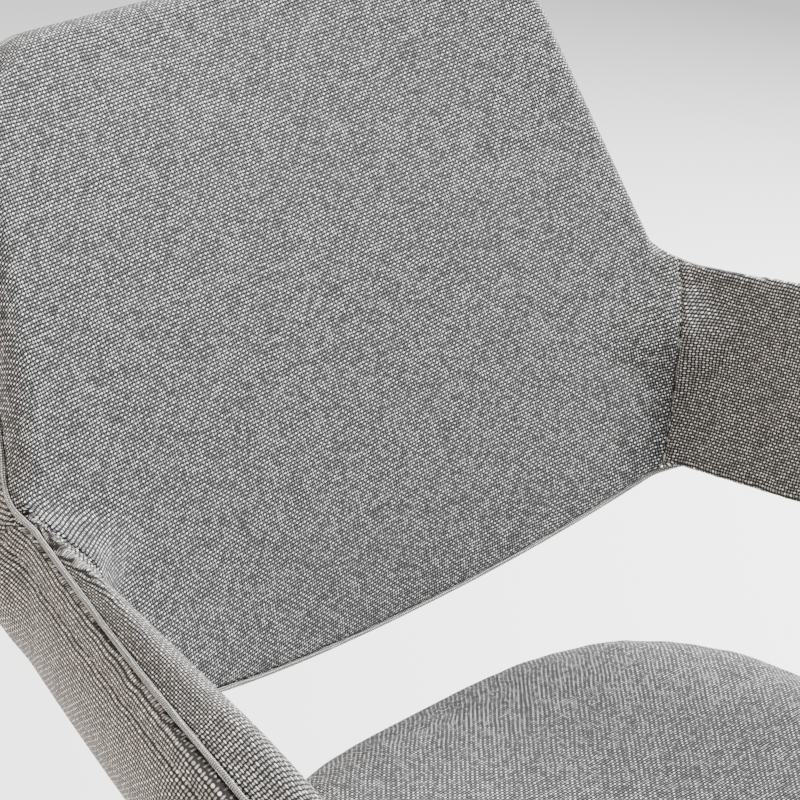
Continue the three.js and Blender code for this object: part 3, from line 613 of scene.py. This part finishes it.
FABRIC = woven("woven_fabric", 0.003, 0.14, 0.97)
# painted light: the arms' inner covers get a paler, warm-tinted copy of the same fabric, standing in for
# the light falling on the arm tops
FABRIC_ARM_PAINTED_LIGHT = woven("woven_fabric_arm", 0.012, 0.22, 0.97, tint=(1.0, 0.98, 0.955))
# painted light: the outer covers get a paler, warm-tinted copy of the same fabric, standing in for the warm
# side light and for cloth looking brighter seen edge-on
FABRIC_OUTER_PAINTED_LIGHT = woven("woven_fabric_outer_painted_light", 0.02, 0.3, 0.97, tint=(1.0, 0.955, 0.91))
# painted highlight: the welt cord gets a much paler, warm-tinted copy of the fabric, standing in for the
# bright line of light along the ridge
PIPING_PAINTED_HIGHLIGHT = woven("woven_piping_painted_highlight", 0.08, 0.5, 0.97, pitch=1.3, tint=(1.0, 0.98, 0.955))
THREAD = hard("sewing_thread", (0.30, 0.29, 0.275), 0.75, grain=2500, relief=0.0003)
FELT = felt()
FINISHES = {
    "aluminium": hard("polished_aluminium", (0.66, 0.67, 0.68), 0.22, 1.0, grain=260, spread=0.12,
                      wear=(0.85, 0.86, 0.87), mottle=0.05, radius=0.002),
    "chrome": hard("chrome_plate", (0.78, 0.785, 0.80), 0.09, 1.0, grain=500, spread=0.05,
                   relief=0.00002, mottle=0.02, radius=0.0006),
    "black_steel": hard("black_powder_coat", (0.022, 0.022, 0.024), 0.48, 0.0, grain=900,
                        relief=0.0003, spread=0.14, wear=(0.16, 0.16, 0.165), mottle=0.2),
    "steel": hard("zinc_plated_steel", (0.50, 0.50, 0.48), 0.33, 1.0, grain=350, spread=0.16,
                  stretch=(1, 1, 12), wear=(0.75, 0.75, 0.74), mottle=0.08, radius=0.0005),
    "black_nylon": hard("moulded_nylon", (0.018, 0.018, 0.02), 0.52, 0.0, grain=1300,
                        relief=0.0002, spread=0.12, wear=(0.07, 0.07, 0.072), mottle=0.15),
    "tread": hard("wheel_tread", (0.032, 0.033, 0.036), 0.72, 0.0, grain=700, relief=0.0003,
                  spread=0.14, wear=(0.10, 0.10, 0.105), mottle=0.22),
    "plywood": plywood(),
    "felt": FELT,
}
for part in frame["record"]["subparts"]:
    if part["material_slot"] in FINISHES:
        held = frame["nodes"][part["node"]]
        held.data.materials.clear()
        held.data.materials.append(FINISHES[part["material_slot"]])

# ---------- back and arm covers ----------
BACK_BOX = ((-276, 190, 478), (276, 424, 860))
ARM_BOX = ((190, -104, 366), (360, 312, 690))


def mirrored(points, faces):
    return points * np.array([-1, 1, 1]), np.asarray(faces)[:, ::-1]


def cover(name, points, faces, mat, lines, nodes, slot, fill):
    """One sewn cover that stands for CAD nodes of the seat body."""
    obj = mesh_object(name, points, faces, mat)
    cloth_lines(obj, lines(points))
    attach(obj, "seat")
    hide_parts(*nodes)


back_front = skin(panel(1, 1), *BACK_BOX)
cover("back_front_cover", *back_front, FABRIC, back_lines, ["back_pad"], "fabric", 0.7)
back_rear = skin(panel(1, -1), *BACK_BOX)
cover("back_outer_cover", *back_rear, FABRIC_OUTER_PAINTED_LIGHT, back_rear_lines, ["back_shell"], "fabric_outer", 0.8)
arm_inner = skin(panel(-1, 1), *ARM_BOX)
arm_outer = skin(panel(-1, -1), *ARM_BOX)
for label, side in (("left", 1), ("right", -1)):
    turned = (lambda m: m) if side > 0 else (lambda m: mirrored(*m))
    cover(f"{label}_arm_inner_cover", *turned(arm_inner), FABRIC_ARM_PAINTED_LIGHT, arm_inner_lines,
          [f"{label}_arm"], "fabric", 0.7)
    cover(f"{label}_arm_outer_cover", *turned(arm_outer), FABRIC_OUTER_PAINTED_LIGHT, arm_outer_lines,
          [f"{label}_arm"], "fabric_outer", 0.7)


# ---------- welt cord and topstitch ----------
SHELL_BOX = ((-366, -108, 362), (366, 424, 860))
COARSE_GRID = 5.0
FOAM_DEPTH = 2.0
WELT_STEP = 2.5
CORD_R = 1.5
CORD_OUT = 0.5           # the cord's middle stands this far out of the cloth
CORD_SIDES = 8
STITCH_LENGTH = 4.4
STITCH_STEP = 6.2
THREAD_R = 0.45
THREAD_SIDES = 6
THREAD_ROWS = 7


def longest_line(points, quads, value):
    """The longest closed line on a mesh where a value changes sign."""
    links = {}
    crossing = {}
    for quad in quads[np.ptp((value[quads] < 0).astype(int), axis=1) > 0]:
        ends = []
        for k in range(4):
            a, b = int(quad[k]), int(quad[(k + 1) % 4])
            if (value[a] < 0) != (value[b] < 0):
                key = (min(a, b), max(a, b))
                if key not in crossing:
                    share = value[a] / (value[a] - value[b])
                    crossing[key] = points[a] + share * (points[b] - points[a])
                ends.append(key)
        if len(ends) == 2:
            links.setdefault(ends[0], []).append(ends[1])
            links.setdefault(ends[1], []).append(ends[0])
    best, seen = [], set()
    for start in links:
        if start in seen:
            continue
        chain, here, before = [], start, None
        while here is not None and here not in seen:
            seen.add(here)
            chain.append(crossing[here])
            onward = [k for k in links[here] if k != before and k not in seen]
            before, here = here, onward[0] if onward else None
        if len(chain) > len(best):
            best = chain
    return np.array(best)


def even_line(points, step):
    """A closed line with even spacing."""
    ring = np.vstack([points, points[:1]])
    way = np.concatenate([[0], np.cumsum(np.linalg.norm(np.diff(ring, axis=0), axis=1))])
    at = np.linspace(0, way[-1], int(way[-1] / step) + 1)[:-1]
    return np.stack([np.interp(at, way, ring[:, k]) for k in range(3)], 1)


def calm(points, rounds):
    """A closed line smoothed along its length."""
    for _ in range(rounds):
        points = 0.5 * points + 0.25 * (np.roll(points, 1, 0) + np.roll(points, -1, 0))
    return points


def onto_both(points, level, rounds=4):
    """Points moved to where the shell is 0 and the welt field has a level; also the shell's
    normal and the way across the welt there."""
    for _ in range(rounds):
        shell, n = slope(lambda p: shell_fields(p)[0], points)
        welt, w = slope(lambda p: shell_fields(p)[2], points)
        nn, ww, nw = (n * n).sum(1), (w * w).sum(1), (n * w).sum(1)
        gap = np.maximum(nn * ww - nw * nw, 0.02)
        a = (shell * ww - (welt - level) * nw) / gap
        b = ((welt - level) * nn - shell * nw) / gap
        points = points - np.clip(a, -3, 3)[:, None] * n - np.clip(b, -3, 3)[:, None] * w
    normal = n / np.linalg.norm(n, axis=1)[:, None]
    return points, normal, w


def tube(centre, normal, radius, sides):
    """Closed ring tube round a closed line."""
    along = np.roll(centre, -1, 0) - np.roll(centre, 1, 0)
    along /= np.linalg.norm(along, axis=1)[:, None]
    normal = normal - (normal * along).sum(1)[:, None] * along
    normal /= np.linalg.norm(normal, axis=1)[:, None]
    across = np.cross(along, normal)
    angle = 2 * np.pi * np.arange(sides) / sides
    points = (centre[:, None] + radius * (np.cos(angle)[None, :, None] * normal[:, None]
                                          + np.sin(angle)[None, :, None] * across[:, None]))
    count = len(centre)
    faces = []
    for i in range(count):
        j = (i + 1) % count
        for k in range(sides):
            m = (k + 1) % sides
            faces.append([i * sides + k, j * sides + k, j * sides + m, i * sides + m])
    way = np.arange(count) * np.linalg.norm(centre[1] - centre[0])
    lines = np.stack(np.broadcast_arrays(way[:, None], radius * angle[None, :]), -1)
    return points.reshape(-1, 3), np.array(faces), lines.reshape(-1, 2)


rim = skin(lambda p: shell_fields(p)[0], *SHELL_BOX, COARSE_GRID)
welt_line = longest_line(*rim, shell_fields(rim[0])[2])
welt_line = calm(even_line(welt_line, WELT_STEP), 12)
welt_line = onto_both(welt_line, 0.0)[0]
welt_line = calm(even_line(welt_line, WELT_STEP), 2)
_, welt_normal, welt_way = onto_both(welt_line, 0.0, 1)
cord_points, cord_faces, cord_lines = tube(welt_line + CORD_OUT * welt_normal, calm(welt_normal, 4),
                                           CORD_R, CORD_SIDES)
cord = mesh_object("welt_cord", cord_points, cord_faces, PIPING_PAINTED_HIGHLIGHT)
cloth_lines(cord, cord_lines)
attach(cord, "seat")

# the foam under the covers closes the bottom of every seam
foam = skin(lambda p: shell_fields(p)[0] + FOAM_DEPTH, *SHELL_BOX, COARSE_GRID)
core = mesh_object("shell_foam_core", *foam, FABRIC_OUTER_PAINTED_LIGHT)
cloth_lines(core, foam[0][:, :2])
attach(core, "seat")


def stitches(line, normal, keep):
    """Short raised stitches along a line, each sinking into the cloth at its ends."""
    points, faces = [], []
    per = max(1, int(round(STITCH_STEP / np.linalg.norm(line[1] - line[0]))))
    rows = np.linspace(-1, 1, THREAD_ROWS)
    angle = 2 * np.pi * np.arange(THREAD_SIDES) / THREAD_SIDES
    for i in range(0, len(line) - per, per):
        if not keep[i]:
            continue
        along = line[i + 1] - line[i]
        along /= np.linalg.norm(along)
        across = np.cross(along, normal[i])
        base = len(points)
        for r in rows:
            width = THREAD_R * math.sqrt(max(0.05, 1 - r**6))
            middle = line[i] + along * r * STITCH_LENGTH / 2 + normal[i] * (0.25 - 0.8 * r**4)
            for a in angle:
                points.append(middle + width * (math.cos(a) * normal[i] + math.sin(a) * across))
        for k in range(THREAD_ROWS - 1):
            for m in range(THREAD_SIDES):
                o = (m + 1) % THREAD_SIDES
                a = base + THREAD_SIDES * k
                b = a + THREAD_SIDES
                faces.append([a + m, b + m, b + o, a + o])
        last = base + THREAD_SIDES * (THREAD_ROWS - 1)
        faces.append([base + m for m in range(THREAD_SIDES)])
        faces.append([last + m for m in reversed(range(THREAD_SIDES))])
    return np.array(points), faces


across_surface = welt_way - (welt_way * welt_normal).sum(1)[:, None] * welt_normal
across_surface /= np.maximum(np.linalg.norm(across_surface, axis=1), 1e-6)[:, None]
stitch_line, stitch_normal, _ = onto_both(welt_line + STITCH_DOWN * across_surface, STITCH_DOWN, 6)
left_over = np.abs(shell_fields(stitch_line)[0])
across_band = arm_place(stitch_line)[1]
sewn = (left_over < 0.2) & (across_band > 8)
sewn &= np.linalg.norm(np.roll(stitch_line, -1, 0) - stitch_line, axis=1) < 4
thread_points, thread_faces = stitches(stitch_line, stitch_normal, sewn)
threads = mesh_object("topstitch_threads", thread_points, thread_faces, THREAD)
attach(threads, "seat")


# ---------- seat cushion ----------
CROWN_INSET = 140.0      # innermost ring of the cushion
CUSHION_SWELL = 3.5      # most that the filling pushes the cover out
CUSHION_GRID = 5.0
CUSHION_PRESSURE = 4.0
CUSHION_STIFFNESS = 25.0
CUSHION_FRAMES = 20
RIM_DEPTH = 12.0         # the border starts this far below the crown
HELD_HEIGHT = 6.0        # the cover is held this far up from the board


def signed_power(value, power):
    return np.sign(value) * np.abs(value) ** power


def seat_outline(angle, inset, power=SEAT_POWER):
    """Plan of the seat at an inset: a rounded square that widens towards the front."""
    reach = np.where(np.sin(angle) > 0, SEAT_REAR, SEAT_FRONT)
    y = (reach - inset) * signed_power(np.sin(angle), 2 / power)
    widen = 1 + SEAT_WIDEN * np.maximum(0, -y) / SEAT_FRONT
    x = (SEAT_HALF_W * widen - inset) * signed_power(np.cos(angle), 2 / power)
    return x, SEAT_MID_Y + y


def seat_cushion(count=220):
    """Cushion from rings of (inset, height); the rings grow rounder towards the crown."""
    levels = [(60, SEAT_BOTTOM), (14, SEAT_BOTTOM), (6, SEAT_BOTTOM + 4), (1.5, SEAT_BOTTOM + 14),
              (0, SEAT_BOTTOM + 30), (0, SEAT_TOP - 34), (1.5, SEAT_TOP - 24), (5, SEAT_TOP - 17),
              (10, SEAT_TOP - 11.5), (17, SEAT_TOP - 8), (26, SEAT_TOP - 5.6), (42, SEAT_TOP - 3.6),
              (64, SEAT_TOP - 2.2), (96, SEAT_TOP - 1.0), (CROWN_INSET, SEAT_TOP - 0.2)]
    angle = 2 * np.pi * (np.arange(count) + 0.5) / count
    rings = []
    for inset, z in levels:
        x, y = seat_outline(angle, inset, SEAT_POWER - 0.9 * min(1, inset / CROWN_INSET))
        rings.append(np.stack([x, y, np.full(count, z)], 1))
    points = np.concatenate([[[0, SEAT_MID_Y, SEAT_BOTTOM]], *rings, [[0, SEAT_MID_Y, SEAT_TOP]]])
    faces = []
    for i in range(count):
        j = (i + 1) % count
        faces.append([0, 1 + j, 1 + i])
        for r in range(len(rings) - 1):
            a = 1 + r * count
            faces.append([a + i, a + j, a + count + j, a + count + i])
        last = 1 + (len(rings) - 1) * count
        faces.append([last + i, last + j, len(points) - 1])
    return points, faces


def plump(obj):
    """Cover blown out a little against its own stretch, by a cloth simulation."""
    rest = np.empty(len(obj.data.vertices) * 3)
    obj.data.vertices.foreach_get("co", rest)
    rest = rest.reshape(-1, 3)
    held = obj.vertex_groups.new(name="held")
    low = rest[:, 2].min() + HELD_HEIGHT * MM
    held.add([int(i) for i in np.nonzero(rest[:, 2] < low)[0]], 1.0, "REPLACE")
    cloth = obj.modifiers.new("cloth", "CLOTH")
    cloth.settings.quality = 5
    cloth.settings.mass = 0.3
    cloth.settings.tension_stiffness = CUSHION_STIFFNESS
    cloth.settings.compression_stiffness = CUSHION_STIFFNESS
    cloth.settings.use_pressure = True
    cloth.settings.uniform_pressure_force = CUSHION_PRESSURE
    cloth.settings.shrink_min = -0.01
    cloth.settings.vertex_group_mass = "held"
    cloth.settings.effector_weights.gravity = 0
    cloth.point_cache.frame_start = 1
    cloth.point_cache.frame_end = CUSHION_FRAMES
    for number in range(1, CUSHION_FRAMES + 1):
        bpy.context.scene.frame_set(number)
    shaped = obj.evaluated_get(bpy.context.evaluated_depsgraph_get()).to_mesh()
    moved = np.empty(len(shaped.vertices) * 3)
    shaped.vertices.foreach_get("co", moved)
    push = moved.reshape(-1, 3) - rest
    obj.modifiers.remove(cloth)
    obj.vertex_groups.remove(held)
    bpy.context.scene.frame_set(1)
    length = np.maximum(np.linalg.norm(push, axis=1), 1e-9)[:, None]
    push *= np.minimum(1, CUSHION_SWELL * MM / length)
    obj.data.vertices.foreach_set("co", (rest + push).ravel())
    obj.data.update()


def seat_object():
    """The cushion with an even mesh, its cloth directions and its filling."""
    obj = mesh_object("seat_cushion_cover", *seat_cushion(), FABRIC)
    remesh = obj.modifiers.new("even", "REMESH")
    remesh.mode = "VOXEL"
    remesh.voxel_size = CUSHION_GRID * MM
    even = bpy.data.meshes.new_from_object(obj.evaluated_get(bpy.context.evaluated_depsgraph_get()))
    obj.modifiers.clear()
    obj.data = even
    even.polygons.foreach_set("use_smooth", [True] * len(even.polygons))
    points = np.empty(len(even.vertices) * 3)
    even.vertices.foreach_get("co", points)
    points = (points.reshape(-1, 3) - np.array([0.0, AXIS_Y, 0.0])) / MM
    down = np.maximum(0, SEAT_TOP - RIM_DEPTH - points[:, 2])
    out = points[:, :2] - np.array([0, SEAT_MID_Y])
    length = np.maximum(np.hypot(out[:, 0], out[:, 1]), 1)[:, None]
    cloth_lines(obj, out + out / length * down[:, None])
    plump(obj)
    smoother = obj.modifiers.new("smoother", "SUBSURF")
    smoother.levels = 1
    smoother.render_levels = 1
    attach(obj, "seat")
    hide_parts("seat_cushion")


seat_object()


# ---------- dust cover under the seat ----------
COVER_INSET = 40.0
COVER_T = 0.9
COVER_SAG = 1.6
COVER_COUNT = 160
COVER_ROWS = 9
COVER_GAP = 0.1          # between the board and the cover
PLATE_HALF = (91.0, 113.0)


def dust_cover(count=COVER_COUNT, rows=COVER_ROWS):
    """Sheet with an opening for the seat plate; it hangs slightly between its tacked edges."""
    angle = 2 * np.pi * (np.arange(count) + 0.5) / count
    outer_x, outer_y = seat_outline(angle, COVER_INSET)
    # the opening's edge lies in the same direction as each point of the outline
    reach = 1 / np.maximum(np.abs(outer_x) / PLATE_HALF[0], np.abs(outer_y) / PLATE_HALF[1])
    inner_x, inner_y = outer_x * reach, outer_y * reach
    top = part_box("dust_cover")[1].z / MM - COVER_GAP
    layers = []
    for depth in (0.0, COVER_T):
        for r in range(rows):
            share = r / (rows - 1)
            x = inner_x + (outer_x - inner_x) * share
            y = inner_y + (outer_y - inner_y) * share
            sag = COVER_SAG * math.sin(math.pi * share) * (0.6 + 0.4 * np.sin(9 * angle))
            layers.append(np.stack([x, y, top - depth - sag], 1))
    points = np.concatenate(layers)
    faces = []
    under = rows * count
    for i in range(count):
        j = (i + 1) % count
        for r in range(rows - 1):
            a, b = r * count, (r + 1) * count
            faces.append([a + i, b + i, b + j, a + j])
            faces.append([under + a + j, under + b + j, under + b + i, under + a + i])
        last = (rows - 1) * count
        faces.append([j, under + j, under + i, i])
        faces.append([last + i, under + last + i, under + last + j, last + j])
    return points, faces


def flat_area(outline):
    """Area inside a closed outline, in square metres."""
    x, y = outline[:, 0], outline[:, 1]
    return abs(np.sum(x * np.roll(y, -1) - y * np.roll(x, -1))) / 2 * MM * MM


cover_points, cover_faces = dust_cover()
cover_sheet = mesh_object("dust_cover_sheet", cover_points, cover_faces, FELT)
ring = cover_points[(COVER_ROWS - 1) * COVER_COUNT:COVER_ROWS * COVER_COUNT, :2]
hole = cover_points[:COVER_COUNT, :2]
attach(cover_sheet, "seat")
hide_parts("dust_cover")
float(flat_area(ring) - flat_area(hole))

# ---------- tilt spring ----------
# the coil is copied with its own mesh and hung on the upper body in place of the CAD spring
coil_node = frame["nodes"]["tension_spring"]
coil = bpy.data.objects.new("tension_spring_coil", coil_node.data.copy())
coil.matrix_world = coil_node.matrix_world.copy()
bpy.context.scene.collection.objects.link(coil)
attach(coil, "upper")
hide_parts("tension_spring")
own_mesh(coil)

# ---------- camera, light and floor ----------
CAMERA_AT = (-0.9134, -0.6676, 1.2313)
CAMERA_RIGHT = (0.70171, -0.71153, 0.03662)
CAMERA_UP = (0.28007, 0.32274, 0.90410)
CAMERA_AHEAD = (0.65511, 0.62416, -0.42574)
CAMERA_LENS = 117.4
WORLD_LIGHT = 0.46
FLOOR_R = 9.0

camera_data = bpy.data.cameras.new("camera")
camera_data.lens = CAMERA_LENS
camera_data.sensor_width = 36
camera = bpy.data.objects.new("camera", camera_data)
bpy.context.scene.collection.objects.link(camera)
camera.location = CAMERA_AT
right = Vector(CAMERA_RIGHT).normalized()
up = Vector(CAMERA_UP).normalized()
forward = Vector(CAMERA_AHEAD).normalized()
camera.matrix_world = Matrix((
    (right.x, up.x, -forward.x, camera.location.x),
    (right.y, up.y, -forward.y, camera.location.y),
    (right.z, up.z, -forward.z, camera.location.z),
    (0, 0, 0, 1),
))
bpy.context.scene.camera = camera

bpy.ops.mesh.primitive_circle_add(vertices=96, radius=FLOOR_R, fill_type="NGON", location=(0, 0, 0))
floor = bpy.context.object
floor.name = "floor"
floor_mat, _, floor_shader = shader("floor_paint")
floor_shader.inputs["Base Color"].default_value = (0.9, 0.9, 0.9, 1)
floor_shader.inputs["Roughness"].default_value = 0.8
floor.data.materials.append(floor_mat)

world = bpy.data.worlds.new("studio")
bpy.context.scene.world = world
world.use_nodes = True
world.node_tree.nodes["Background"].inputs[0].default_value = (1, 1, 1, 1)
world.node_tree.nodes["Background"].inputs[1].default_value = WORLD_LIGHT


def area_light(name, position, target, size, power, colour=(1, 1, 1)):
    """Soft round light that faces a target."""
    data = bpy.data.lights.new(name, "AREA")
    data.shape = "DISK"
    data.size = size
    data.energy = power
    data.color = colour
    lamp = bpy.data.objects.new(name, data)
    bpy.context.scene.collection.objects.link(lamp)
    lamp.location = position
    lamp.rotation_mode = "QUATERNION"
    lamp.rotation_quaternion = (Vector(target) - Vector(position)).to_track_quat("-Z", "Y")


area_light("key", (1.5, -1.15, 2.4), (0, 0.1, 0.6), 0.9, 215)
area_light("rim", (2.0, 0.7, 1.7), (-0.2, 0.05, 0.6), 0.6, 170)
area_light("side", (-2.0, 0.4, 1.3), (-0.2, 0.1, 0.6), 1.0, 55, (1.0, 0.88, 0.78))
